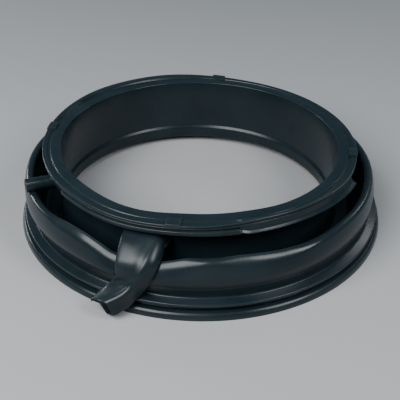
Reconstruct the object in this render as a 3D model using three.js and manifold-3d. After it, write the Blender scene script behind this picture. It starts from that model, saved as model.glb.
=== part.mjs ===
// A washing machine door seal: one moulded rubber ring that joins the tub to the front panel.
// Millimetres, +Z up. The origin is the middle of the foot ring on the floor, and the spout is at
// the front left, towards -Y. Angles are in degrees from +X, anticlockwise seen from above.

import * as THREE from "three";
import { mergeVertices } from "three/addons/utils/BufferGeometryUtils.js";
import Module from "manifold-3d";

const wasm = await Module();
wasm.setup();
const { degToRad, radToDeg, smoothstep, lerp } = THREE.MathUtils;

// Rubber
const wall_thickness = 2.6;
const rubber_colour = 0x0d1518;
const rubber_roughness = 0.42;
const ring_segments = 64;
const wall_steps = 14;

// Foot ring, which grips the front panel
const foot_radius = 200;
const foot_lip_radius = 198.6;
const foot_lip_height = 5.8;
const foot_lip_round = 1.2;
const foot_inner_radius = 183.6;
const foot_chamfer = 1.4;
const wire_groove_radius = 190.3;
const wire_groove_floor = 7;
const wire_groove_width = 5.6;
const ledge_radius = 195.6;
const ledge_height = 15.2;
const ledge_fall = 1.9;
const ledge_round = 0.8;

// Outer wall, and the fold at its top
const wall_foot_radius = 186.3;
const waist_radius = 187.9;
const waist_height = 26;
const bulge_radius = 191.6;
const bulge_height = 38;
const crest_radius = 183.9;
const crest_height = 58.6;
const crest_round = 2.7;

// Trough between the sleeve and the fold
const trough_floor = 9.2;
const trough_width = 20;
const trough_round = 6;

// Sleeve, and the door lip at its lower end
const opening_radius = 149.3;
const door_lip_radius = 146.6;
const door_lip_top = 19.5;
const door_lip_slope = 3.4;
const door_lip_round = 1.8;

// Flange that faces the tub
const flange_radius = 169;
const flange_height = 84;
const flange_thickness = 3.2;
const flange_round = 1.1;
const band_radius = 160.4;
const recess_depth = 1.3;
const recess_width = 3;
const recess_slope = 0.6;
const rim_drop = 0.3;
const skirt_height = 72;
const skirt_radius = 167.3;
const skirt_thickness = 3;
const thin_lip_top = 80.8;
const thin_lip_height = 1.3;
const thin_lip_reach = 1.5;
const thin_lip_gap = 0.9;

// Blocks on the flange
const block_count = 4;
const block_angle = -98;
const block_span = 4.7;
const block_rise = 1.7;

// Grip rib and flared apron under the flange
const rib_from = -143;
const rib_to = -79;
const rib_top = 77.8;
const rib_height = 4.8;
const rib_reach = 2.9;
const apron_from = -77;
const apron_to = -24;
const apron_top = 80.4;
const apron_height = 6.4;
const apron_reach = 4.2;
const apron_thickness = 2.2;
const apron_flare = 3.6;
const apron_flare_from = -57;

// Round nozzle
const nozzle_angle = -159.8;
const nozzle_height = 65;
const nozzle_reach = 7.2;
const nozzle_outer_radius = 7.2;
const nozzle_bore_radius = 4.6;
const nozzle_sides = 24;
const nozzle_clearance = 0.5;

// Spout, a flattened tube with a crease along it
const spout_angle = -108.3;
const spout_gap = 1.2;
const spout_wall = 2;
const spout_steps = 18;
const spout_root_thickness = 12;
const spout_thickness = 8.5;
const spout_taper = 0.35;
const spout_edge_round = 2.4;

// How the spout's edges lie: degrees round from its middle, and millimetres out and up from what is
// under it, from its root over the fold and down to its mouth
const spout_left_edge = [
  { turn: -9.2, out: 0, up: 0 },
  { turn: -7.5, out: 2, up: 0 },
  { turn: -6.5, out: 5, up: 6.5 },
  { turn: -5.6, out: 5.2, up: 1 },
  { turn: -5.2, out: 8.2, up: 3 },
  { turn: -9, out: 7.2, up: -2 },
  { turn: -11.6, out: 4.8, up: -3 },
];
const spout_ridge = [
  { turn: 7.7, out: 0, up: 0 },
  { turn: 6.3, out: 2, up: 0 },
  { turn: 5, out: 2, up: 10 },
  { turn: 4.1, out: 0, up: 4 },
  { turn: 2.6, out: 5, up: 7 },
  { turn: -1.9, out: 10.6, up: 1 },
  { turn: -5.8, out: 10.3, up: 2 },
];
const spout_low_edge = [
  { turn: 8.2, out: 0, up: -12 },
  { turn: 7.5, out: 0, up: -11 },
  { turn: 6.6, out: 0, up: 1 },
  { turn: 5.6, out: 0, up: -6 },
  { turn: 2.9, out: 0, up: -13 },
  { turn: 0.7, out: 0, up: -13 },
  { turn: -3.6, out: 9.8, up: -12.8 },
];

// How the slack rubber lies
const drift_x = -2;
const lip_drift_x = -3;
const lean_x = -0.01;
const lean_y = -0.013;
const sag_angle = -117;
const sag_depth = 2.2;
const sag_span = 24;
const rim_lift = 4;
const back_lift_angle = 122;
const back_lift_span = 12;
const back_lift_edge = 45;
const front_lift_angle = -60;
const front_lift_span = 6;
const front_lift_edge = 30;
const dip_depth = 8.6;
const dip_span = 7.5;
const dip_edge = 6.5;
const shoulder_angle = -130.5;
const shoulder_rise = 4;
const shoulder_span = 3;
const shoulder_edge = 9.5;

// Sizes that follow
const half_wall = wall_thickness / 2;
const floor_underside = trough_floor - wall_thickness;
const sleeve_radius = opening_radius + wall_thickness;
const trough_radius = sleeve_radius + trough_width;
const wall_foot_height = ledge_height + ledge_fall;
const groove_top = wire_groove_floor + wire_groove_width;
const rim_height = flange_height - rim_drop;
const recess_floor = flange_height - recess_depth;
const recess_radius = band_radius + recess_width;
const skirt_inner_radius = skirt_radius - skirt_thickness;
const channel_roof = flange_height - flange_thickness;
const dip_height = crest_height - dip_depth;
const apron_bottom = apron_top - apron_height;
const spout_top = skirt_height - spout_gap;
const spout_root_radius = sleeve_radius - half_wall / 4;

// One corner of an outline, with how far its round reaches along each side and in how many steps
function corner(x, y, round = 0, steps = 1) {
  return { place: new THREE.Vector2(x, y), round, steps };
}

// The points of an outline, with each rounded corner as a short curve
function outline(corners) {
  const points = [];
  corners.forEach(({ place, round, steps }, index) => {
    if (round === 0) {
      points.push(place.clone());
      return;
    }
    const before = corners.at(index - 1).place.clone().sub(place);
    const after = corners[(index + 1) % corners.length].place.clone().sub(place);
    const start = before.setLength(round).add(place);
    const end = after.setLength(round).add(place);
    points.push(...new THREE.QuadraticBezierCurve(start, place, end).getPoints(steps));
  });
  return points;
}

// A line moved sideways: a positive distance is to the left of its direction
function offset(points, distance) {
  return points.map((point, index) => {
    const before = points[Math.max(index - 1, 0)];
    const after = points[Math.min(index + 1, points.length - 1)];
    const along = after.clone().sub(before).normalize();
    return new THREE.Vector2(point.x - along.y * distance, point.y + along.x * distance);
  });
}

// A closed geometry as a solid that can be joined and cut
function solid_of(geometry) {
  const bare = new THREE.BufferGeometry();
  bare.setAttribute("position", geometry.getAttribute("position").clone());
  if (geometry.index) {
    bare.setIndex(geometry.index.clone());
  }
  const merged = mergeVertices(bare, 1e-4);
  const vertProperties = new Float32Array(merged.getAttribute("position").array);
  const triVerts = new Uint32Array(merged.index.array);
  return new wasm.Manifold(new wasm.Mesh({ numProp: 3, vertProperties, triVerts }));
}

// A solid as a geometry again
function geometry_of(solid) {
  const mesh = solid.getMesh();
  const geometry = new THREE.BufferGeometry();
  geometry.setAttribute("position", new THREE.BufferAttribute(mesh.vertProperties, 3));
  geometry.setIndex(new THREE.BufferAttribute(mesh.triVerts, 1));
  return geometry;
}

// A ring turned from an outline in radius and height
function ring(points) {
  const closed = [...points, points[0].clone()].reverse();
  const geometry = new THREE.LatheGeometry(closed, ring_segments);
  geometry.rotateX(Math.PI / 2);
  return solid_of(geometry);
}

// A tall wedge between two angles, to keep one stretch of a ring
function wedge(from, to) {
  const reach = 2 * foot_radius;
  const turns = Math.ceil((to - from) / 30);
  const shape = new THREE.Shape();
  shape.moveTo(0, 0);
  for (let turn = 0; turn <= turns; turn += 1) {
    const angle = degToRad(lerp(from, to, turn / turns));
    shape.lineTo(reach * Math.cos(angle), reach * Math.sin(angle));
  }
  const depth = 2 * flange_height;
  return solid_of(new THREE.ExtrudeGeometry(shape, { depth, bevelEnabled: false }));
}

// A place on the ring, by its angle, radius and height
function at(angle, radius, height) {
  const turn = degToRad(angle);
  return new THREE.Vector3(radius * Math.cos(turn), radius * Math.sin(turn), height);
}

// The middle of the thin wall, from the trough floor up the fold's inner leg and down outside
function wall_line() {
  const floor_middle = trough_floor - half_wall;
  const leg_foot = new THREE.Vector2(trough_radius + half_wall, trough_floor + trough_round);
  const leg_top = new THREE.Vector2(crest_radius - crest_round, crest_height - 2.2 * crest_round);
  const curve = new THREE.SplineCurve([
    new THREE.Vector2(sleeve_radius + trough_round + half_wall, floor_middle),
    new THREE.Vector2(trough_radius - trough_round, floor_middle),
    leg_foot,
    leg_foot.clone().lerp(leg_top, 0.5),
    leg_top,
    new THREE.Vector2(crest_radius, crest_height - half_wall),
    new THREE.Vector2(crest_radius + crest_round, crest_height - 2.2 * crest_round),
    new THREE.Vector2(bulge_radius - half_wall, bulge_height),
    new THREE.Vector2(waist_radius - half_wall, waist_height),
    new THREE.Vector2(wall_foot_radius - half_wall, wall_foot_height - half_wall),
  ]);
  return curve.getPoints(wall_steps);
}

// The section of the whole ring: flange, trough and outer wall, foot, then back inside
function ring_section() {
  const line = wall_line();
  const thin_lip_radius = skirt_radius + thin_lip_reach;
  const thin_lip_bottom = thin_lip_top - thin_lip_height;
  const flange = outline([
    corner(opening_radius, flange_height, flange_round / 2),
    corner(band_radius, flange_height),
    corner(band_radius + recess_slope, recess_floor),
    corner(recess_radius, recess_floor),
    corner(recess_radius + recess_slope, rim_height),
    corner(flange_radius, rim_height, flange_round),
    corner(flange_radius, thin_lip_top + thin_lip_gap),
    corner(skirt_radius, thin_lip_top + thin_lip_gap / 2),
    corner(thin_lip_radius, thin_lip_top),
    corner(thin_lip_radius, thin_lip_bottom),
    corner(skirt_radius, thin_lip_bottom - thin_lip_gap / 2),
    corner(skirt_radius, skirt_height, flange_round / 2),
    corner(skirt_inner_radius, skirt_height, flange_round / 2),
    corner(skirt_inner_radius, channel_roof),
    corner(sleeve_radius, channel_roof),
    corner(sleeve_radius, trough_floor, trough_round, 3),
    corner(trough_radius, trough_floor),
  ]);
  flange.pop();
  const foot = outline([
    corner(wall_foot_radius, wall_foot_height),
    corner(ledge_radius, ledge_height, ledge_round),
    corner(ledge_radius, groove_top),
    corner(wire_groove_radius, groove_top),
    corner(wire_groove_radius, wire_groove_floor),
    corner(foot_lip_radius - foot_lip_round, wire_groove_floor),
    corner(foot_lip_radius, foot_lip_height),
    corner(foot_radius, 0),
    corner(foot_inner_radius + foot_chamfer, 0),
    corner(foot_inner_radius, foot_chamfer),
    corner(foot_inner_radius, wall_foot_height - half_wall),
  ]);
  const door_lip = outline([
    corner(sleeve_radius, floor_underside),
    corner(opening_radius, floor_underside),
    corner(door_lip_radius, floor_underside + door_lip_round),
    corner(door_lip_radius, door_lip_top, door_lip_round, 2),
    corner(opening_radius, door_lip_top + door_lip_slope),
  ]);
  const outside = offset(line, half_wall).slice(0, -1);
  const inside = offset(line, -half_wall).slice(0, -1).reverse();
  return [...flange, ...outside, ...foot, ...inside, ...door_lip];
}

// A rib or skirt of the given outline, only between two angles
function stretch(corners, from, to) {
  return ring(outline(corners)).intersect(wedge(from, to));
}

// Blocks that stand on the flange from its recess to its edge
function blocks() {
  const top = flange_height + block_rise;
  const bottom = channel_roof + flange_thickness / 3;
  const section = [
    corner(band_radius - recess_slope, top),
    corner(flange_radius - flange_round / 2, top, flange_round / 2),
    corner(flange_radius - flange_round / 2, bottom),
    corner(band_radius - recess_slope, bottom),
  ];
  return Array.from({ length: block_count }, (_, index) => {
    const middle = block_angle + (360 / block_count) * index;
    return stretch(section, middle - block_span / 2, middle + block_span / 2);
  });
}

// Rib that stands out from the skirt under the thin lip
function grip_rib() {
  const inside = skirt_radius - skirt_thickness / 2;
  const outside = skirt_radius + rib_reach;
  const section = [
    corner(inside, rib_top),
    corner(outside, rib_top, flange_round / 2),
    corner(outside, rib_top - rib_height, flange_round),
    corner(inside, rib_top - rib_height),
  ];
  return stretch(section, rib_from, rib_to);
}

// Apron that flares out and down from the thin lip
function apron() {
  const inside = skirt_radius - skirt_thickness / 2;
  const tip = skirt_radius + apron_reach;
  const section = [
    corner(inside, apron_top),
    corner(skirt_radius + thin_lip_reach, apron_top),
    corner(tip, apron_bottom),
    corner(tip - apron_thickness, apron_bottom - apron_thickness / 3),
    corner(inside, apron_top - apron_height / 2),
  ];
  return stretch(section, apron_from, apron_to);
}

// One inside the given span, falling smoothly to nothing over the edge on each side
function plateau(angle, middle, span, edge) {
  const away = Math.abs(((angle - middle + 540) % 360) - 180);
  return 1 - smoothstep(away, span, span + edge);
}

// Moves the points of the straight ring to where the slack rubber lies
function settle(geometry) {
  const positions = geometry.getAttribute("position");
  const point = new THREE.Vector3();
  const nozzle_bottom = nozzle_height - nozzle_outer_radius - nozzle_clearance;
  const nozzle_span = radToDeg(nozzle_outer_radius / crest_radius);
  for (let index = 0; index < positions.count; index += 1) {
    point.fromBufferAttribute(positions, index);
    const radius = Math.hypot(point.x, point.y);
    const angle = radToDeg(Math.atan2(point.y, point.x));
    const inner = 1 - smoothstep(radius, trough_radius + wall_thickness, foot_inner_radius - 1);
    const above_foot = Math.max(inner, smoothstep(point.z, wall_foot_height, bulge_height));
    const near_lip = inner * (1 - smoothstep(point.z, door_lip_top, skirt_height));
    const not_fold = 1 - smoothstep(radius, skirt_radius + apron_reach, crest_radius - crest_round);
    const at_flange = not_fold * smoothstep(point.z, bulge_height, skirt_height);
    const at_crest = (1 - not_fold) * smoothstep(point.z, wall_foot_height, crest_height);
    const sag = sag_depth * plateau(angle, sag_angle, 0, sag_span);
    const at_rim = smoothstep(radius, band_radius, flange_radius) * smoothstep(point.z, apron_bottom, rim_height);
    const back_lift = plateau(angle, back_lift_angle, back_lift_span, back_lift_edge);
    const front_lift = plateau(angle, front_lift_angle, front_lift_span, front_lift_edge);
    const lift = rim_lift * at_rim * (back_lift + front_lift);
    const dip = dip_depth * plateau(angle, spout_angle, dip_span, dip_edge);
    const rise = shoulder_rise * plateau(angle, shoulder_angle, shoulder_span, shoulder_edge);
    const press = (crest_height - nozzle_bottom) * plateau(angle, nozzle_angle, nozzle_span, dip_edge);
    const lean = lean_x * point.x + lean_y * point.y;
    const past_skirt = radius > skirt_radius + thin_lip_reach / 2 && point.z > skirt_height;
    const on_apron = past_skirt && point.z < apron_top && angle < apron_to + thin_lip_reach;
    const opened = smoothstep(angle, apron_flare_from, apron_to) * smoothstep(apron_top - point.z, 0, apron_height);
    const spread = on_apron ? 1 + (apron_flare * opened) / radius : 1;
    point.x *= spread;
    point.y *= spread;
    point.x += drift_x * above_foot + lip_drift_x * near_lip;
    point.z += at_flange * (lean + lift - sag) + at_crest * (rise - dip - press);
    positions.setXYZ(index, point.x, point.y, point.z);
  }
  return geometry;
}

// What the spout hangs from, lies on and hangs over, from its root to its mouth, in radius and height
function spout_rests() {
  return [
    new THREE.Vector2(spout_root_radius, spout_top),
    new THREE.Vector2(flange_radius, spout_top),
    new THREE.Vector2(crest_radius, dip_height + spout_gap),
    new THREE.Vector2(bulge_radius + spout_gap, dip_height),
    new THREE.Vector2(bulge_radius + spout_gap, bulge_height),
    new THREE.Vector2(ledge_radius + spout_gap, waist_height),
    new THREE.Vector2(foot_radius + spout_gap, ledge_height),
  ];
}

// One long edge of the spout, from how it lies at each of those places
function spout_edge(lie) {
  const points = spout_rests().map((rest, index) => {
    const { turn, out, up } = lie[index];
    return at(spout_angle + turn, rest.x + out, rest.y + up);
  });
  return new THREE.CatmullRomCurve3(points);
}

// The spout's section in its own two directions: along the wide face and along the side face
function band(width, depth, thickness, inset) {
  const far = Math.min(thickness, depth - spout_edge_round / 4) - inset;
  const round = Math.max(spout_edge_round - inset, 0.5);
  return outline([
    corner(inset, inset, round, 2),
    corner(width - inset, inset, round / 2, 2),
    corner(width - inset, far, round / 2, 2),
    corner(far, far),
    corner(far, depth - inset, round / 2, 2),
    corner(inset, depth - inset, round / 2, 2),
  ]);
}

// The spout's section in space at one place along its three edges
function spout_loop(edges, place, inset) {
  const [left, ridge, low] = edges.map((edge) => edge.getPoint(place));
  const across = left.sub(ridge);
  const down = low.sub(ridge);
  const thickness = lerp(spout_root_thickness, spout_thickness, smoothstep(place, 0, spout_taper));
  const section = band(across.length(), down.length(), thickness, inset);
  across.normalize();
  down.normalize();
  return section.map(({ x, y }) => ridge.clone().addScaledVector(across, x).addScaledVector(down, y));
}

// A loop moved along the line from its neighbour to itself
function run_on(loop, neighbour, distance) {
  const middle_of = (points) => {
    const sum = points.reduce((total, point) => total.add(point), new THREE.Vector3());
    return sum.divideScalar(points.length);
  };
  const step = middle_of(loop).sub(middle_of(neighbour)).setLength(distance);
  return loop.map((point) => point.clone().add(step));
}

// Skins a row of closed loops, all with the same number of points, and closes both ends. Each
// four-sided patch is split along its shorter diagonal, which keeps the twisted stretch smooth.
function skin(loops, flat_outline) {
  const count = flat_outline.length;
  const points = loops.flat();
  const faces = [];
  for (let row = 0; row + 1 < loops.length; row += 1) {
    for (let index = 0; index < count; index += 1) {
      const here = row * count + index;
      const beside = row * count + ((index + 1) % count);
      const above = here + count;
      const across = beside + count;
      if (points[here].distanceTo(points[across]) < points[beside].distanceTo(points[above])) {
        faces.push(here, beside, across, here, across, above);
      } else {
        faces.push(here, beside, above, beside, across, above);
      }
    }
  }
  const last = (loops.length - 1) * count;
  THREE.ShapeUtils.triangulateShape(flat_outline, []).forEach(([a, b, c]) => {
    faces.push(a, c, b, last + a, last + b, last + c);
  });
  const geometry = new THREE.BufferGeometry();
  geometry.setFromPoints(points);
  geometry.setIndex(faces);
  return solid_of(geometry);
}

// The spout as a closed tube, or with an inset the hollow inside it, which runs past both ends
function spout(inset) {
  const edges = [spout_left_edge, spout_ridge, spout_low_edge].map(spout_edge);
  const loops = [];
  for (let step = 0; step <= spout_steps; step += 1) {
    loops.push(spout_loop(edges, step / spout_steps, inset));
  }
  if (inset > 0) {
    loops.unshift(run_on(loops[0], loops[1], 3 * wall_thickness));
    loops.push(run_on(loops.at(-1), loops.at(-2), wall_thickness));
  }
  return skin(loops, band(4 * spout_root_thickness, 2 * spout_root_thickness, spout_root_thickness, inset));
}

// A round bar between two places
function bar(start, end, radius) {
  const along = end.clone().sub(start);
  const geometry = new THREE.CylinderGeometry(radius, radius, along.length(), nozzle_sides);
  const upright = new THREE.Vector3(0, 1, 0);
  geometry.applyQuaternion(new THREE.Quaternion().setFromUnitVectors(upright, along.normalize()));
  const middle = start.clone().lerp(end, 0.5);
  geometry.translate(middle.x, middle.y, middle.z);
  return solid_of(geometry);
}

// The nozzle, or its bore, between two radii
function nozzle(inner, outer, radius) {
  const start = at(nozzle_angle, inner, nozzle_height);
  const end = at(nozzle_angle, outer, nozzle_height);
  start.x += drift_x;
  end.x += drift_x;
  return bar(start, end, radius);
}

// The whole seal
function door_seal() {
  let straight = ring(ring_section());
  [...blocks(), grip_rib(), apron()].forEach((feature) => {
    straight = straight.add(feature);
  });
  const nozzle_tip = crest_radius + nozzle_reach;
  const nozzle_root = sleeve_radius - wall_thickness / 4;
  return solid_of(settle(geometry_of(straight)))
    .add(spout(0))
    .add(nozzle(nozzle_root, nozzle_tip, nozzle_outer_radius))
    .subtract(spout(spout_wall))
    .subtract(nozzle(opening_radius - wall_thickness, nozzle_tip + wall_thickness, nozzle_bore_radius));
}

const rubber = new THREE.MeshStandardMaterial({
  color: rubber_colour,
  roughness: rubber_roughness,
  metalness: 0,
});
const seal = new THREE.Mesh(geometry_of(door_seal()), rubber);
seal.name = "door_seal";

const part = new THREE.Group();
part.add(seal);

export default part;
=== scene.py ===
# %% [markdown]
# # A washing machine door seal
#
# The seal is a ring of soft black rubber. Its foot grips the front panel of the machine, its flange
# grips the tub, and a folded wall between them lets the tub shake without pulling on the panel. The
# seal stands here on its foot, as a spare part lies on a table, with its spout hanging over the fold.
# This lesson turns it on a virtual lathe, bends it a little out of true, and gives it a rubber finish.

# %% Load the solid model that gives the sizes
import math

import bmesh
import bpy
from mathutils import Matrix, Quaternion, Vector


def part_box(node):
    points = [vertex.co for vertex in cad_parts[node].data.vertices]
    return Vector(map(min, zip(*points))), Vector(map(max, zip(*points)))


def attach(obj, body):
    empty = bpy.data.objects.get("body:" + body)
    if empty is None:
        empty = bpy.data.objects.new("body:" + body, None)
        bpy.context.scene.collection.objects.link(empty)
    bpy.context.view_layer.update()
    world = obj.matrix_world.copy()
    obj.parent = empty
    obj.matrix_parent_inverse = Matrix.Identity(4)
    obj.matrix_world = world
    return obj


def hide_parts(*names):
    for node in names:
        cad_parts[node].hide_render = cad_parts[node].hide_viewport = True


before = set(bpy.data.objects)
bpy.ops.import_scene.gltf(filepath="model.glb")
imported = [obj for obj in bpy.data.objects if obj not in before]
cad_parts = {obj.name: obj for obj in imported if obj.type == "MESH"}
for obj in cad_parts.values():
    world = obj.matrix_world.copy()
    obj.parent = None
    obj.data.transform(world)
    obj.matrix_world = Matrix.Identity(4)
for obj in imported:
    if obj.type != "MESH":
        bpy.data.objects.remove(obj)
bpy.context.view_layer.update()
foot_low, foot_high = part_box("door_seal")
mm = 0.001
foot_radius = (foot_high.x - foot_low.x) / 2 / mm
top_height = foot_high.z / mm
print(f"foot radius {foot_radius:.1f} mm, top {top_height:.1f} mm")

# %% [markdown]
# ## Camera
#
# The camera comes first, so that every later step can be judged in the same view. It stands a
# little over two ring widths away and looks down by a little over a third of a right angle. The
# lens is a moderate telephoto, because the far side of the ring looks only a little smaller than
# the near side.

# %% Camera at the photograph's viewing angle
camera_elevation = math.radians(33.21)
camera_roll = math.radians(0.66)
camera_distance = 0.901
camera_lens = 70.81
aim_right = -1.01 * mm
aim_up = 3.92 * mm

forward = Vector((0, math.cos(camera_elevation), -math.sin(camera_elevation)))
upward = Vector((0, math.sin(camera_elevation), math.cos(camera_elevation)))
camera_data = bpy.data.cameras.new("camera")
camera_data.lens = camera_lens
camera = bpy.data.objects.new("camera", camera_data)
camera.location = Vector((aim_right, 0, 0)) + upward * aim_up - forward * camera_distance
camera.rotation_mode = "QUATERNION"
camera.rotation_quaternion = forward.to_track_quat("-Z", "Y") @ Quaternion((0, 0, 1), camera_roll)
bpy.context.scene.collection.objects.link(camera)
bpy.context.scene.camera = camera
print("camera at", [round(value, 3) for value in camera.location])

# %% [markdown]
# ## How the slack rubber lies
#
# A fresh seal is round, but rubber this thin never lies quite true. The upper part has slipped two
# millimetres to the left, the flange leans, its rim lifts at two opposite places, and the fold dips
# under the spout. All of these are smooth changes of place and height, so one function can move the
# points of the ring, its blocks, the rib and the apron in the same way. It is used when a piece has
# its exact round shape. The spout and the nozzle are put in their places by themselves.


# %% Smooth steps and plateaus
def smooth_step(value, start, end):
    share = min(max((value - start) / (end - start), 0), 1)
    return share * share * (3 - 2 * share)


def turn_between(angle, middle):
    return (angle - middle + 180) % 360 - 180


def plateau(angle, middle, span, edge):
    return 1 - smooth_step(abs(turn_between(angle, middle)), span, span + edge)


print("halfway up a step:", smooth_step(0.5, 0, 1))

# %% Move points to where the rubber lies
drift_left = 2
lip_drift_left = 3
lean_right = -0.010
lean_back = -0.013
sag_angle, sag_depth, sag_span = -117, 2.2, 24
rim_lift = 4
back_lift_angle, back_lift_span, back_lift_edge = 122, 12, 45
front_lift_angle, front_lift_span, front_lift_edge = -60, 6, 30
fold_heights = [
    (-172, 0), (-163, -1.1), (-155, -0.8), (-147, 0.2), (-139, 2.2), (-132, 4.0), (-126, 3.2),
    (-121, -0.4), (-116, -6.0), (-109, -8.6), (-103, -7.4), (-98, -3.2), (-93, 0.9), (-87, 2.2),
    (-77, 1.8), (-62, -1.4), (-48, -0.9), (-36, 0),
]
shoulder_angle, shoulder_span, shoulder_edge = -114, 19, 11
shoulder_drop = 5.4
right_shoulder_angle, right_shoulder_span, right_shoulder_edge = -70, 7, 12
right_shoulder_drop = 5.5
front_rise_angle, front_rise_span, front_rise_edge = -84, 8, 22
front_rise = 1.7
recess_rise = 0.8
recess_rise_angle, recess_rise_span, recess_rise_edge = -88, 12, 28
crest_waves, crest_waves_turn = 0.4, 50
crest_share_of_drop = 0.25
swell_waves = 0.35

# Radii and heights between which one stretch of the ring goes over into the next
crest_height = 58.6
flange_height = 84
band_radius = 160.4
band_middle_radius = 163
band_underside = 81
recess_floor_from, recess_floor_to, recess_bank_top = 160.9, 163.3, 163.8
flange_radius = 169
apron_bottom = 74
skirt_bottom = 72
inner_leg_from, inner_leg_to = 174.5, 182.6
sleeve_side, fold_side = 172, 181
fold_width, outward_limit = 7.2, 1.2
held_height, free_height = 17, 38
lip_top = 19.5
shoulder_foot = 34


def smooth_curve(before, start, end, after, share):
    """A curve from start to end that also leans towards the values before and after them."""
    linear = (end - before) * share
    square = (2 * before - 5 * start + 4 * end - after) * share**2
    cube = (3 * start - before - 3 * end + after) * share**3
    return 0.5 * (2 * start + linear + square + cube)


def fold_rise(angle):
    """How far the fold's top stands above its usual height, from the listed angles."""
    heights = [(fold_heights[0][0] - 9, 0), *fold_heights, (fold_heights[-1][0] + 9, 0)]
    for index in range(1, len(heights) - 2):
        (start, _), (end, _) = heights[index], heights[index + 1]
        if start <= angle <= end:
            around = [height for _, height in heights[index - 1:index + 3]]
            return smooth_curve(*around, (angle - start) / (end - start))
    return 0


def waviness(angle):
    turn = math.radians(angle)
    return 0.5 * math.sin(3 * turn + 1.1) + 0.3 * math.sin(7 * turn + 0.4) + 0.2 * math.sin(11 * turn)


def settle(bm):
    """Move the points of a round piece, in metres, to where the slack rubber lies."""
    for vert in bm.verts:
        x, y, z = vert.co / mm
        height = z
        radius = math.hypot(x, y)
        angle = math.degrees(math.atan2(y, x))
        inner = 1 - smooth_step(radius, inner_leg_from, inner_leg_to)
        above_foot = max(inner, smooth_step(z, held_height, free_height))
        near_lip = inner * (1 - smooth_step(z, lip_top, skirt_bottom))
        not_fold = 1 - smooth_step(radius, sleeve_side, fold_side)
        at_flange = not_fold * smooth_step(z, free_height, skirt_bottom)
        at_crest = (1 - not_fold) * smooth_step(z, held_height, crest_height)
        at_rim = smooth_step(radius, band_radius, flange_radius)
        at_rim *= smooth_step(z, apron_bottom, flange_height)
        lifts = plateau(angle, back_lift_angle, back_lift_span, back_lift_edge)
        lifts += plateau(angle, front_lift_angle, front_lift_span, front_lift_edge)
        lean = lean_right * x + lean_back * y
        sag = sag_depth * plateau(angle, sag_angle, 0, sag_span)
        z += at_flange * (lean - sag + rim_lift * lifts * at_rim)
        on_band = 1 - smooth_step(radius, band_middle_radius, flange_radius)
        on_band *= smooth_step(z, apron_bottom, band_underside)
        z += front_rise * on_band * plateau(angle, front_rise_angle, front_rise_span, front_rise_edge)
        in_recess = smooth_step(radius, band_radius, recess_floor_from)
        in_recess *= 1 - smooth_step(radius, recess_floor_to, recess_bank_top)
        raised = plateau(angle, recess_rise_angle, recess_rise_span, recess_rise_edge)
        z += recess_rise * in_recess * smooth_step(z, apron_bottom, band_underside) * raised
        shoulder = shoulder_drop * plateau(angle, shoulder_angle, shoulder_span, shoulder_edge)
        on_right = plateau(angle, right_shoulder_angle, right_shoulder_span, right_shoulder_edge)
        shoulder += right_shoulder_drop * on_right
        outward = min(max((radius - fold_side) / fold_width, 0), outward_limit)
        waves = crest_waves * waviness(angle + crest_waves_turn)
        z += at_crest * (fold_rise(angle) + waves + crest_share_of_drop * shoulder)
        z -= shoulder * outward * smooth_step(height, shoulder_foot, crest_height)
        swell = 1 + above_foot * swell_waves * waviness(angle) / radius
        x = x * swell - drift_left * above_foot - lip_drift_left * near_lip
        vert.co = Vector((x, y * swell, z)) * mm


print(f"the fold under the spout lies {-fold_rise(-109):.1f} mm low")

# %% [markdown]
# ## A lathe for rubber
#
# Every ring-shaped piece starts as a flat outline in radius and height. Its corners are rounded with
# a vertex bevel while it is still flat, which is much cheaper than rounding them on the finished
# ring. Then the outline is spun about the upright axis. A short stretch, such as a rib, is spun
# through a few degrees only, and keeps the outline's face as its end caps.


# %% Outline, full ring and short stretch
ring_steps = 360


def draw_outline(corners):
    """A face in the XZ plane from (radius, height, round, steps) corners in millimetres."""
    bm = bmesh.new()
    verts = [bm.verts.new((radius * mm, 0, height * mm)) for radius, height, *_ in corners]
    bm.faces.new(verts)
    rounds = sorted({corner[2:] for corner in corners if corner[2] > 0})
    for size, steps in rounds:
        chosen = [vert for vert, corner in zip(verts, corners) if corner[2:] == (size, steps)]
        bmesh.ops.bevel(
            bm, geom=chosen, offset=size * mm, offset_type="OFFSET", segments=steps,
            profile=0.5, affect="VERTICES", clamp_overlap=False, material=-1,
        )
    return bm


def spin_ring(corners):
    bm = draw_outline(corners)
    bmesh.ops.delete(bm, geom=bm.faces[:], context="FACES_ONLY")
    bmesh.ops.spin(
        bm, geom=bm.verts[:] + bm.edges[:], cent=(0, 0, 0), axis=(0, 0, 1), dvec=(0, 0, 0),
        angle=2 * math.pi, steps=ring_steps, use_merge=True, use_duplicate=False,
    )
    bmesh.ops.remove_doubles(bm, verts=bm.verts[:], dist=0.002 * mm)
    bmesh.ops.recalc_face_normals(bm, faces=bm.faces[:])
    return bm


def spin_stretch(corners, start, end, end_round):
    """A stretch of a ring between two angles, with softened ends."""
    bm = draw_outline(corners)
    bmesh.ops.rotate(
        bm, verts=bm.verts[:], cent=(0, 0, 0),
        matrix=Quaternion((0, 0, 1), math.radians(start)).to_matrix(),
    )
    steps = max(4, round(end - start))
    bmesh.ops.spin(
        bm, geom=bm.faces[:], cent=(0, 0, 0), axis=(0, 0, 1), dvec=(0, 0, 0),
        angle=math.radians(end - start), steps=steps, use_duplicate=False,
    )
    bmesh.ops.remove_doubles(bm, verts=bm.verts[:], dist=0.002 * mm)
    bmesh.ops.recalc_face_normals(bm, faces=bm.faces[:])
    caps = [face for face in bm.faces if len(face.verts) > 4]
    rims = {edge for face in caps for edge in face.edges}
    if end_round > 0:
        bmesh.ops.bevel(
            bm, geom=list(rims), offset=end_round * mm, offset_type="OFFSET", segments=2,
            profile=0.5, affect="EDGES", clamp_overlap=True, material=-1,
        )
    return bm


def report_mesh(name, bm):
    loose = sum(1 for edge in bm.edges if len(edge.link_faces) != 2)
    print(f"{name}: {len(bm.faces)} faces, {loose} open edges, volume {bm.calc_volume() * 1e6:.1f} cm3")


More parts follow.
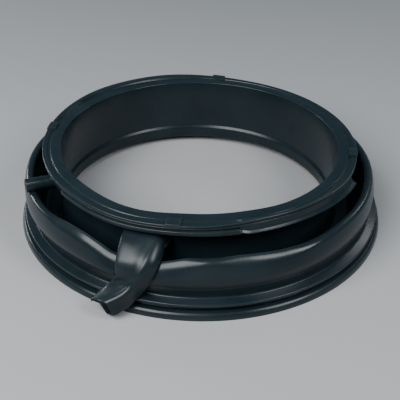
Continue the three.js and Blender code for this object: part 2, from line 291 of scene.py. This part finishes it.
print("the lathe turns a ring in", ring_steps, "steps")

# %% [markdown]
# ## The ring
#
# One closed outline holds the whole section: the flange with its raised band, recess and rim, the
# skirt below it, the sleeve, the trough, the fold, the waist, and the foot with the groove for its
# clamp wire. It could also be built as separate shells, but a moulding has no seams, and one outline
# keeps the wall thickness right all the way round the folds.

# %% The ring's section
opening_radius = 149.3
wall = 2.6
sleeve_radius = opening_radius + wall
door_lip_radius = 146.6
recess_floor, flange_edge_height = 82.7, 83.7
skirt_radius, channel_radius = 167.3, 164.3
channel_top = 80.8
trough_floor, sleeve_bottom = 9.2, 6.6
groove_radius, groove_floor, groove_top = 190.3, 7.0, 12.6
foot_inner_radius = 183.6

flange_outline = [
    (opening_radius, flange_height, 1.0, 4),
    (band_radius, flange_height, 0.4, 3),
    (band_radius + 0.6, recess_floor, 0.3, 2),
    (163.2, recess_floor, 0.3, 2),
    (recess_bank_top, flange_edge_height, 0.4, 3),
    (flange_radius, flange_edge_height, 0.9, 4),
    (flange_radius, 81.8, 0.3, 2),
    (skirt_radius, 81.3, 0.3, 2),
    (168.8, 80.8, 0.35, 3),
    (168.8, 79.5, 0.35, 3),
    (skirt_radius, 79.0, 0.3, 2),
    (skirt_radius, skirt_bottom, 1.0, 4),
    (channel_radius, skirt_bottom, 1.0, 4),
    (channel_radius, channel_top, 1.5, 4),
    (sleeve_radius, channel_top, 2.0, 4),
    (sleeve_radius, 64, 0, 0),
    (sleeve_radius, 48, 0, 0),
    (sleeve_radius, 32, 0, 0),
]
wall_outline = [
    (sleeve_radius, trough_floor, 6.0, 8),
    (171.9, trough_floor, 6.0, 8),
    (176.6, 36.0, 9.0, 5),
    (180.2, crest_height, 3.6, 6),
    (188.2, crest_height, 3.6, 6),
    (192.4, 43.0, 8.0, 7),
    (190.6, 33.0, 4.5, 5),
    (187.2, 25.0, 4.5, 5),
    (186.3, 17.1, 1.4, 3),
]
foot_outline = [
    (195.6, 15.2, 0.9, 4),
    (195.6, groove_top, 0.4, 2),
    (groove_radius, groove_top, 0.8, 3),
    (groove_radius, groove_floor, 0.8, 3),
    (196.9, groove_floor, 0.5, 3),
    (198.8, 5.1, 0.5, 3),
    (foot_radius, 0.0, 0.4, 2),
    (185.0, 0.0, 0.5, 2),
    (foot_inner_radius, 1.4, 0.5, 2),
    (foot_inner_radius, 16.0, 1.0, 2),
]
underside_outline = [
    (184.5, 26.0, 3.5, 3),
    (188.0, 34.0, 4.0, 4),
    (189.6, 43.0, 6.0, 5),
    (186.4, 56.0, 1.6, 4),
    (182.0, 56.0, 1.6, 4),
    (179.2, 36.0, 9.0, 4),
    (174.4, sleeve_bottom, 6.0, 6),
    (sleeve_radius, sleeve_bottom, 0, 0),
    (opening_radius, sleeve_bottom, 0.8, 3),
    (door_lip_radius, 8.4, 1.0, 3),
    (door_lip_radius, 19.8, 1.2, 4),
    (opening_radius, 23.6, 1.0, 3),
    (opening_radius, 36, 0, 0),
    (opening_radius, 50, 0, 0),
    (opening_radius, 66, 0, 0),
]
section = flange_outline + wall_outline + foot_outline + underside_outline
ring_bm = spin_ring(section)
report_mesh("ring", ring_bm)

# %% [markdown]
# ## Blocks, rib and apron
#
# Four low blocks on the flange, a quarter turn apart, line the seal up in the tub. A grip rib runs
# under the flange at the front left, where fingers pull the seal on, and a flared apron keeps water
# off at the front right. They could be pulled out of the ring's own faces, but a short stretch from
# the same lathe gives each its own section and clean ends, and its root lies inside the ring.

# %% Blocks on the flange
block_angles = [-98, -8, 82, 172]
block_span = 5.2
block_outline = [
    (159.9, 82.0, 0, 0),
    (159.9, 85.6, 0.35, 2),
    (169.4, 85.3, 0.5, 3),
    (169.4, 82.0, 0, 0),
]
block_bms = [
    spin_stretch(block_outline, angle - block_span / 2, angle + block_span / 2, 0.3)
    for angle in block_angles
]
report_mesh("one block", block_bms[0])

# %% Grip rib and apron
rib_from, rib_to = -143, -76.4
apron_top, apron_free_height = 80.4, 6.4
rib_outline = [
    (165.8, 77.8, 0, 0),
    (170.2, 77.8, 0.9, 3),
    (170.2, 73.0, 1.4, 4),
    (165.8, 73.0, 0, 0),
]
apron_outline = [
    (165.8, apron_top, 0, 0),
    (168.9, apron_top, 0.4, 2),
    (169.5, 76.7, 0.9, 3),
    (171.9, 74.8, 0.3, 2),
    (171.6, 73.9, 0.3, 2),
    (168.2, 76.0, 1.2, 4),
    (165.8, 77.2, 0, 0),
]
apron_from, apron_to = -77, -24
apron_flare_from = -57
apron_flare = 3.6
apron_corner_lift, apron_corner_span = 1.8, 3.4
rib_bm = spin_stretch(rib_outline, rib_from, rib_to, 0.8)
apron_bm = spin_stretch(apron_outline, apron_from, apron_to, 0.3)
for vert in apron_bm.verts:
    x, y, z = vert.co / mm
    turn = math.degrees(math.atan2(y, x))
    hanging = smooth_step(apron_top - z, 0, apron_free_height)
    opened = smooth_step(turn, apron_flare_from, apron_to) * hanging
    spread = 1 + apron_flare * opened / math.hypot(x, y)
    vert.co.x *= spread
    vert.co.y *= spread
    at_corner = 1 - smooth_step(turn, apron_from, apron_from + apron_corner_span)
    vert.co.z += apron_corner_lift * mm * at_corner * hanging
report_mesh("rib", rib_bm)
report_mesh("apron", apron_bm)


# %% Put the pieces into the scene
usual_sharp_angle, spout_sharp_angle = 40, 60


def add_piece(name, bms, sharp_angle=usual_sharp_angle):
    """One object from one or more bmeshes, shaded smooth with sharp edges where they are sharp."""
    mesh = bpy.data.meshes.new(name)
    joined = bmesh.new()
    for bm in bms:
        part = bpy.data.meshes.new(name + "_part")
        bm.to_mesh(part)
        joined.from_mesh(part)
        bpy.data.meshes.remove(part)
        bm.free()
    joined.to_mesh(mesh)
    joined.free()
    mesh.shade_smooth()
    mesh.set_sharp_from_angle(angle=math.radians(sharp_angle))
    piece = bpy.data.objects.new(name, mesh)
    bpy.context.scene.collection.objects.link(piece)
    return piece


for bm in [ring_bm, rib_bm, apron_bm, *block_bms]:
    settle(bm)
ring = add_piece("seal_ring", [ring_bm])
blocks = add_piece("seal_blocks", block_bms)
rib = add_piece("seal_grip_rib", [rib_bm])
apron = add_piece("seal_apron", [apron_bm])
print("the ring stands", round(max(vert.co.z for vert in ring.data.vertices) / mm, 1), "mm high")

# %% [markdown]
# ## The spout
#
# The spout is a wide tube, squashed flat and creased along its length, so its section is an L: a
# wide face on top and a narrow face down its right side. It leaves the sleeve under the flange, lies
# over the fold, and hangs down outside with its mouth by the floor. A cloth simulation could drape
# it, but its outline has to match the photograph's, so the section is pushed along three edges that
# are listed below: the left edge, the crease and the low edge of the side face. How far each
# stretch lies from the camera is a guess, as one photograph doesn't show it.


# %% The three edges, as angle, radius and height
left_edge = [
    (-117.4, 151.4, 71.0), (-115.9, 167.4, 70.8), (-115.0, 181.1, 66.1), (-114.3, 192.0, 58.6),
    (-113.7, 198.0, 51.5), (-113.4, 200.3, 40.5), (-116.2, 198.9, 28.1), (-118.0, 204.4, 20.7),
    (-119.5, 212.3, 15.5),
]
crease_edge = [
    (-100.6, 151.4, 71.0), (-101.7, 167.4, 70.3), (-102.3, 177.6, 67.6), (-103.3, 189.4, 61.8),
    (-103.9, 195.3, 56.5), (-105.4, 201.2, 48.3), (-107.2, 204.9, 38.3), (-109.7, 211.8, 30.0),
    (-113.5, 218.9, 23.3),
]
low_edge = [
    (-100.1, 151.4, 59.5), (-101.4, 167.2, 59.9), (-101.2, 177.0, 56.2), (-101.8, 188.6, 51.3),
    (-102.7, 192.8, 43.3), (-103.9, 193.5, 32.6), (-106.3, 195.0, 19.9), (-108.6, 204.4, 11.3),
    (-111.4, 217.2, 6.8),
]


def place(angle, radius, height):
    turn = math.radians(angle)
    return Vector((radius * math.cos(turn), radius * math.sin(turn), height))


def along(track, share):
    """A point on the smooth curve through the track's places, from 0 at its start to 1 at its end."""
    points = [place(*spot) for spot in track]
    position = share * (len(points) - 1)
    index = min(int(position), len(points) - 2)
    before = points[max(index - 1, 0)]
    after = points[min(index + 2, len(points) - 1)]
    return smooth_curve(before, points[index], points[index + 1], after, position - index)


print("the spout's mouth is", round(along(crease_edge, 1).length), "mm from the middle")

# %% Push the section along the edges
band_width, band_depth, band_thickness = 34, 20, 8.5
spout_stations = 64
spout_wall = 1.5
edge_to_divide, face_cuts = 8, 9

# How far the corner of the L reaches into each face, how that changes along the spout, and how much
# the wide part thins towards its left edge near the mouth
corner_reach, corner_slimming = 12, 3.5
mouth_widening, mouth_thinning = 2.4, 3.0
tip_closing = 0.3

# Relief of the wide face: a groove beside the crease, a rolled left edge and a crown
groove_depth, groove_loss, groove_place, groove_width = 1.5, 1.0, 10.5, 4.2
roll_depth, roll_growth, roll_inset, roll_past = 0.9, 1.2, 6, 1
crown_height = 1.2
face_margin = 5

# Where along the spout each change begins and ends, as shares of its length
root_slims = (0, 0.3)
mouth_changes = (0.55, 1)
tip_closes = (0.3, 0.6)
relief_starts = (0.12, 0.3)
crown_starts, crown_ends = (0.08, 0.2), (0.5, 0.75)


def spout_outline():
    """The L-shaped section, drawn flat: x runs along the wide face and z down the side face."""
    t = band_thickness
    bm = draw_outline([
        (0, 0, 6.4, 10),
        (band_width, 0, 3.0, 6),
        (band_width, t, 2.6, 5),
        (t, t, 1.5, 3),
        (t, band_depth, 1.3, 3),
        (0, band_depth, 1.3, 3),
    ])
    bmesh.ops.delete(bm, geom=bm.faces[:], context="FACES_ONLY")
    long_edges = [edge for edge in bm.edges if edge.calc_length() > edge_to_divide * mm]
    bmesh.ops.subdivide_edges(bm, edges=long_edges, cuts=face_cuts)
    return bm


def between(value, from_low, from_high, to_low, to_high):
    return to_low + (value - from_low) * (to_high - to_low) / (from_high - from_low)


def spout_point(x, z, share):
    """Where a point of the flat section goes, at one share of the way along the spout."""
    left, crease, low = (along(track, share) for track in (left_edge, crease_edge, low_edge))
    across = left - crease
    down = low - crease
    width, depth = across.length, down.length
    slim = smooth_step(share, *root_slims)
    towards_mouth = smooth_step(share, *mouth_changes)
    side_thickness = corner_reach - corner_slimming * slim + mouth_widening * towards_mouth
    top_thickness = corner_reach - corner_slimming * slim - mouth_thinning * towards_mouth
    t = band_thickness
    u = between(x, 0, t, 0, side_thickness)
    if x > t:
        u = between(x, t, band_width, side_thickness, width)
    v = between(z, 0, t, 0, top_thickness)
    if z > t:
        v = between(z, t, band_depth, top_thickness, depth)
    if x > t and z >= t / 2:
        closing = tip_closing * smooth_step(share, *tip_closes)
        v *= 1 - closing * (u - side_thickness) / (width - side_thickness)
    if z < t / 2 or (x > t / 2 and z <= t):
        on_face = smooth_step(u, 0, face_margin) * (1 - smooth_step(u, width - face_margin, width))
        deep = smooth_step(share, *relief_starts)
        hollow = math.exp(-(((u - groove_place) / groove_width) ** 2))
        groove = (groove_depth - groove_loss * towards_mouth) * hollow * deep
        at_edge = smooth_step(u, width - roll_inset, width + roll_past)
        v += on_face * groove + (roll_depth + roll_growth * towards_mouth) * deep * at_edge
    if z < t / 2:
        arch = math.sin(math.pi * min(max(u / width, 0), 1))
        crown = crown_height * arch * smooth_step(share, *crown_starts)
        v -= on_face * crown * (1 - smooth_step(share, *crown_ends))
    return crease + across.normalized() * u + down.normalized() * v


spout_bm = spout_outline()
flat_place = {vert: (vert.co.x / mm, vert.co.z / mm) for vert in spout_bm.verts}
ring_verts = list(flat_place)
for vert in ring_verts:
    vert.co = spout_point(*flat_place[vert], 0) * mm
open_loop = spout_bm.edges[:]
for station in range(1, spout_stations + 1):
    made = bmesh.ops.extrude_edge_only(spout_bm, edges=open_loop)["geom"]
    new_verts = [item for item in made if isinstance(item, bmesh.types.BMVert)]
    new_set = set(new_verts)
    open_loop = [
        item for item in made
        if isinstance(item, bmesh.types.BMEdge) and item.verts[0] in new_set and item.verts[1] in new_set
    ]
    for vert in new_verts:
        source = next(
            edge.other_vert(vert) for edge in vert.link_edges if edge.other_vert(vert) not in new_set
        )
        flat_place[vert] = flat_place[source]
        vert.co = spout_point(*flat_place[vert], station / spout_stations) * mm
bmesh.ops.recalc_face_normals(spout_bm, faces=spout_bm.faces[:])
report_mesh("spout skin", spout_bm)
spout = add_piece("seal_spout", [spout_bm], spout_sharp_angle)
shell = spout.modifiers.new("wall", "SOLIDIFY")
shell.thickness = spout_wall * mm
shell.offset = -1
shell.use_even_offset = False
shell.use_rim = True
smooth = spout.modifiers.new("smooth", "SUBSURF")
smooth.levels = 1
smooth.render_levels = 1

# %% [markdown]
# ## The nozzle
#
# The nozzle is a short stiff tube for a hose. It is turned like the ring, but about its own axis,
# and then swung round to point out of the sleeve at the left.

# %% Turn the nozzle
nozzle_angle, nozzle_height = -159.8, 62.8
nozzle_root, nozzle_tip = 150.6, 191.1
nozzle_radius, nozzle_bore = 7.2, 4.6
nozzle_length = nozzle_tip - nozzle_root
nozzle_flare, nozzle_flare_length = 3, 5
nozzle_steps = 64
nozzle_bm = draw_outline([
    (nozzle_bore, 0, 0, 0),
    (nozzle_radius + nozzle_flare, 0, 0, 0),
    (nozzle_radius, nozzle_flare_length, 2.2, 4),
    (nozzle_radius, nozzle_length, 0.7, 3),
    (nozzle_bore, nozzle_length, 0.5, 3),
])
bmesh.ops.delete(nozzle_bm, geom=nozzle_bm.faces[:], context="FACES_ONLY")
bmesh.ops.spin(
    nozzle_bm, geom=nozzle_bm.verts[:] + nozzle_bm.edges[:], cent=(0, 0, 0), axis=(0, 0, 1),
    dvec=(0, 0, 0), angle=2 * math.pi, steps=nozzle_steps, use_merge=True, use_duplicate=False,
)
bmesh.ops.remove_doubles(nozzle_bm, verts=nozzle_bm.verts[:], dist=0.002 * mm)
bmesh.ops.recalc_face_normals(nozzle_bm, faces=nozzle_bm.faces[:])
lay_down = Quaternion((0, 0, 1), math.radians(nozzle_angle)) @ Quaternion((0, 1, 0), math.pi / 2)
bmesh.ops.rotate(nozzle_bm, verts=nozzle_bm.verts[:], cent=(0, 0, 0), matrix=lay_down.to_matrix())
root_place = place(nozzle_angle, nozzle_root, nozzle_height) - Vector((drift_left, 0, 0))
bmesh.ops.translate(nozzle_bm, verts=nozzle_bm.verts[:], vec=root_place * mm)
report_mesh("nozzle", nozzle_bm)
nozzle = add_piece("seal_nozzle", [nozzle_bm])

# %% [markdown]
# ## Openings in the sleeve
#
# Water reaches the spout and the nozzle through a slot and a hole in the sleeve. A boolean cut is the
# plain way to make them, because both go straight through a plain stretch of wall, where nothing has
# to stay evenly divided.

# %% Cut the slot and the hole
slot_middle = -109.0
slot_width, slot_height, slot_depth = 33, 7, 14
slot_level, slot_round = 65.2, 2
bore_cut_depth = 12


def cutter(name, bm):
    mesh = bpy.data.meshes.new(name)
    bm.to_mesh(mesh)
    bm.free()
    tool = bpy.data.objects.new(name, mesh)
    bpy.context.scene.collection.objects.link(tool)
    return tool


def cut(piece, tool):
    change = piece.modifiers.new("cut", "BOOLEAN")
    change.object = tool
    change.solver = "EXACT"
    graph = bpy.context.evaluated_depsgraph_get()
    result = bpy.data.meshes.new_from_object(piece.evaluated_get(graph))
    piece.modifiers.remove(change)
    old = piece.data
    piece.data = result
    result.name = piece.name
    bpy.data.meshes.remove(old)
    used = tool.data
    bpy.data.objects.remove(tool)
    bpy.data.meshes.remove(used)


slot_bm = bmesh.new()
bmesh.ops.create_cube(slot_bm, size=mm)
bmesh.ops.scale(slot_bm, verts=slot_bm.verts[:], vec=(slot_depth, slot_width, slot_height))
long_edges = [edge for edge in slot_bm.edges if abs(edge.verts[0].co.x - edge.verts[1].co.x) > mm]
bmesh.ops.bevel(
    slot_bm, geom=long_edges, offset=slot_round * mm, offset_type="OFFSET", segments=4, profile=0.5,
    affect="EDGES", clamp_overlap=True, material=-1,
)
swing = Quaternion((0, 0, 1), math.radians(slot_middle)).to_matrix()
bmesh.ops.rotate(slot_bm, verts=slot_bm.verts[:], cent=(0, 0, 0), matrix=swing)
slot_place = place(slot_middle, opening_radius, slot_level)
bmesh.ops.translate(slot_bm, verts=slot_bm.verts[:], vec=slot_place * mm)
cut(ring, cutter("slot_tool", slot_bm))

bore_bm = bmesh.new()
bmesh.ops.create_cone(
    bore_bm, cap_ends=True, segments=48, radius1=nozzle_bore * mm, radius2=nozzle_bore * mm,
    depth=bore_cut_depth * mm,
)
bmesh.ops.rotate(bore_bm, verts=bore_bm.verts[:], cent=(0, 0, 0), matrix=lay_down.to_matrix())
bmesh.ops.translate(bore_bm, verts=bore_bm.verts[:], vec=root_place * mm)
cut(ring, cutter("bore_tool", bore_bm))
ring.data.shade_smooth()
ring.data.set_sharp_from_angle(angle=math.radians(usual_sharp_angle))
print("the ring has", len(ring.data.polygons), "faces after the cuts")

# %% [markdown]
# ## Rubber
#
# Moulded rubber is nearly black with a satin face, and a faint blue tint that is a painted
# reflection. What makes it look real is that its gloss is never even: the mould leaves a fine
# grain, handling leaves smoother and duller patches, and raised edges rub to a slightly paler grey.
# One node group makes these masks, and each finish uses it with its own values. The ring is satin
# and its edges are the most rubbed, the small parts are as satin but hardly rubbed, the spout is a
# little softer, and its inside is dull and painted darker, as painted shade inside its mouth.


# %% A node group for the moulded surface
patch_low, patch_high = 0.35, 0.65
edge_low, edge_high = 0.52, 0.62


def new_group(name, inputs, outputs):
    group = bpy.data.node_groups.new(name, "ShaderNodeTree")
    for label, default in inputs:
        socket = group.interface.new_socket(label, in_out="INPUT", socket_type="NodeSocketFloat")
        socket.default_value = default
    for label in outputs:
        group.interface.new_socket(label, in_out="OUTPUT", socket_type="NodeSocketFloat")
    return group, group.nodes.new("NodeGroupInput"), group.nodes.new("NodeGroupOutput")


moulded, moulded_in, moulded_out = new_group(
    "moulded surface",
    [("Patch Size", 0.05), ("Grain Size", 0.0006), ("Rubbed Edge", 1.0)],
    ["Patches", "Grain", "Rubbed"],
)


def add_node(tree, kind, **values):
    node = tree.nodes.new(kind)
    for label, value in values.items():
        setattr(node, label, value)
    return node


def fill_moulded_group():
    tree = moulded
    spot = add_node(tree, "ShaderNodeTexCoord")

    def noise(size_socket, detail, roughness):
        scale = add_node(tree, "ShaderNodeMath", operation="DIVIDE")
        scale.inputs[0].default_value = 1
        tree.links.new(moulded_in.outputs[size_socket], scale.inputs[1])
        texture = add_node(tree, "ShaderNodeTexNoise")
        texture.inputs["Detail"].default_value = detail
        texture.inputs["Roughness"].default_value = roughness
        tree.links.new(spot.outputs["Object"], texture.inputs["Vector"])
        tree.links.new(scale.outputs[0], texture.inputs["Scale"])
        return texture

    patches = noise("Patch Size", 4, 0.55)
    sharpen = add_node(tree, "ShaderNodeMapRange")
    sharpen.inputs["From Min"].default_value = patch_low
    sharpen.inputs["From Max"].default_value = patch_high
    tree.links.new(patches.outputs["Fac"], sharpen.inputs["Value"])
    tree.links.new(sharpen.outputs["Result"], moulded_out.inputs["Patches"])

    grain = noise("Grain Size", 2, 0.6)
    tree.links.new(grain.outputs["Fac"], moulded_out.inputs["Grain"])

    shape = add_node(tree, "ShaderNodeNewGeometry")
    edge = add_node(tree, "ShaderNodeMapRange")
    edge.inputs["From Min"].default_value = edge_low
    edge.inputs["From Max"].default_value = edge_high
    tree.links.new(shape.outputs["Pointiness"], edge.inputs["Value"])
    rubbed = add_node(tree, "ShaderNodeMath", operation="MULTIPLY")
    tree.links.new(edge.outputs["Result"], rubbed.inputs[0])
    tree.links.new(moulded_in.outputs["Rubbed Edge"], rubbed.inputs[1])
    tree.links.new(rubbed.outputs[0], moulded_out.inputs["Rubbed"])


fill_moulded_group()
group_outputs = [item.name for item in moulded.interface.items_tree if item.in_out == "OUTPUT"]
print("the group gives", group_outputs)


# %% Four finishes of rubber
# Near black rubber, with a faint blue tint that is a painted reflection of blue surroundings
black_with_painted_blue_reflection_colours = (0.0048, 0.0100, 0.0128), (0.0080, 0.0150, 0.0182)
# Darker colours for the inside of the spout's wall: painted shade, so its mouth looks dark inside
inside_painted_shade_colours = (0.004, 0.007, 0.008), (0.006, 0.010, 0.012)
rubbed_colour = (0.115, 0.138, 0.138)
satin_roughness, soft_roughness, dull_roughness = (0.22, 0.31), (0.27, 0.36), (0.6, 0.8)
rubber_sheen, dull_sheen = 0.27, 0.15
grain_size, grain_strength, grain_height = 0.7, 0.25, 0.05


def rubber_finish(name, colours, roughness, patch_size, rubbed_edge):
    """A rubber that varies between two colours and two roughnesses, from patch to patch."""
    material = bpy.data.materials.new(name)
    material.use_nodes = True
    tree = material.node_tree
    shader = tree.nodes["Principled BSDF"]
    shader.inputs["Specular IOR Level"].default_value = rubber_sheen
    surface = add_node(tree, "ShaderNodeGroup", node_tree=moulded)
    surface.inputs["Patch Size"].default_value = patch_size
    surface.inputs["Grain Size"].default_value = grain_size * mm
    surface.inputs["Rubbed Edge"].default_value = rubbed_edge

    tint = add_node(tree, "ShaderNodeMix", data_type="RGBA")
    tint.inputs["A"].default_value = (*colours[0], 1)
    tint.inputs["B"].default_value = (*colours[1], 1)
    tree.links.new(surface.outputs["Patches"], tint.inputs["Factor"])
    edge_tint = add_node(tree, "ShaderNodeMix", data_type="RGBA")
    edge_tint.inputs["B"].default_value = (*rubbed_colour, 1)
    tree.links.new(tint.outputs["Result"], edge_tint.inputs["A"])
    tree.links.new(surface.outputs["Rubbed"], edge_tint.inputs["Factor"])
    tree.links.new(edge_tint.outputs["Result"], shader.inputs["Base Color"])

    gloss = add_node(tree, "ShaderNodeMapRange")
    gloss.inputs["To Min"].default_value = roughness[0]
    gloss.inputs["To Max"].default_value = roughness[1]
    tree.links.new(surface.outputs["Patches"], gloss.inputs["Value"])
    tree.links.new(gloss.outputs["Result"], shader.inputs["Roughness"])

    bump = add_node(tree, "ShaderNodeBump")
    bump.inputs["Strength"].default_value = grain_strength
    bump.inputs["Distance"].default_value = grain_height * mm
    tree.links.new(surface.outputs["Grain"], bump.inputs["Height"])
    tree.links.new(bump.outputs["Normal"], shader.inputs["Normal"])
    return material


satin_rubber = rubber_finish("satin rubber", black_with_painted_blue_reflection_colours, satin_roughness, 0.06, 0.45)
soft_rubber = rubber_finish("soft rubber of the spout", black_with_painted_blue_reflection_colours, soft_roughness, 0.04, 0.15)
small_rubber = rubber_finish("satin rubber of small parts", black_with_painted_blue_reflection_colours, satin_roughness, 0.03, 0.12)
# The inside's finish is dull, and its darker colours are painted shade
dull_painted_shade_rubber = rubber_finish("dull rubber inside with painted shade", inside_painted_shade_colours, dull_roughness, 0.02, 0.2)
dull_painted_shade_rubber.node_tree.nodes["Principled BSDF"].inputs["Specular IOR Level"].default_value = dull_sheen
finishes = {ring: satin_rubber, spout: soft_rubber}
pieces = (ring, blocks, rib, apron, spout, nozzle)
for piece in pieces:
    piece.data.materials.clear()
    piece.data.materials.append(finishes.get(piece, small_rubber))
# The second slot, on the inside of the spout's wall, carries the painted shade
spout.data.materials.append(dull_painted_shade_rubber)
shell.material_offset = 1
for piece in pieces:
    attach(piece, "root")
    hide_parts("door_seal")
print("finishes:", [item.name for item in (satin_rubber, soft_rubber, small_rubber, dull_painted_shade_rubber)])

# %% [markdown]
# ## Floor and light
#
# The floor is a plain pale sheet. Black rubber shows its shape almost only by what it mirrors, so
# the lights are soft. A big softbox at the front left draws the broad highlights, and a weaker one
# at the front right draws the line along the fold and the ridge of the spout. Two small panels
# behind catch the edges. The sky is a dim blue fill.

# %% Floor
floor_half_width = 6
floor_colour = (0.3, 0.304, 0.31)
floor_roughness = 0.9
floor_bm = bmesh.new()
bmesh.ops.create_grid(floor_bm, x_segments=1, y_segments=1, size=floor_half_width)
floor_mesh = bpy.data.meshes.new("floor")
floor_bm.to_mesh(floor_mesh)
floor_bm.free()
floor = bpy.data.objects.new("floor", floor_mesh)
bpy.context.scene.collection.objects.link(floor)
floor_material = bpy.data.materials.new("pale floor")
floor_material.use_nodes = True
floor_shader = floor_material.node_tree.nodes["Principled BSDF"]
floor_shader.inputs["Base Color"].default_value = (*floor_colour, 1)
floor_shader.inputs["Roughness"].default_value = floor_roughness
floor.data.materials.append(floor_material)


# %% Lights
aim = (0, 0, 0.05)
sky_colour = (0.5, 0.78, 1.0)
sky_strength = 0.22


def soft_light(name, location, width, height, watts):
    light = bpy.data.lights.new(name, "AREA")
    light.shape = "RECTANGLE"
    light.size = width
    light.size_y = height
    light.energy = watts
    lamp = bpy.data.objects.new(name, light)
    lamp.location = location
    lamp.rotation_mode = "QUATERNION"
    lamp.rotation_quaternion = (Vector(aim) - Vector(location)).to_track_quat("-Z", "Y")
    bpy.context.scene.collection.objects.link(lamp)


soft_light("front left softbox", (-0.68, -0.74, 1.05), 1.0, 0.9, 35)
soft_light("front right softbox", (0.83, -0.6, 0.98), 0.45, 0.6, 12)
soft_light("back right panel", (0.95, 0.8, 0.84), 0.22, 0.22, 1.6)
soft_light("back left panel", (-1.32, 0.88, 0.36), 0.5, 0.3, 6)

world = bpy.data.worlds.new("studio")
bpy.context.scene.world = world
world.use_nodes = True
world.node_tree.nodes["Background"].inputs["Color"].default_value = (*sky_colour, 1)
world.node_tree.nodes["Background"].inputs["Strength"].default_value = sky_strength
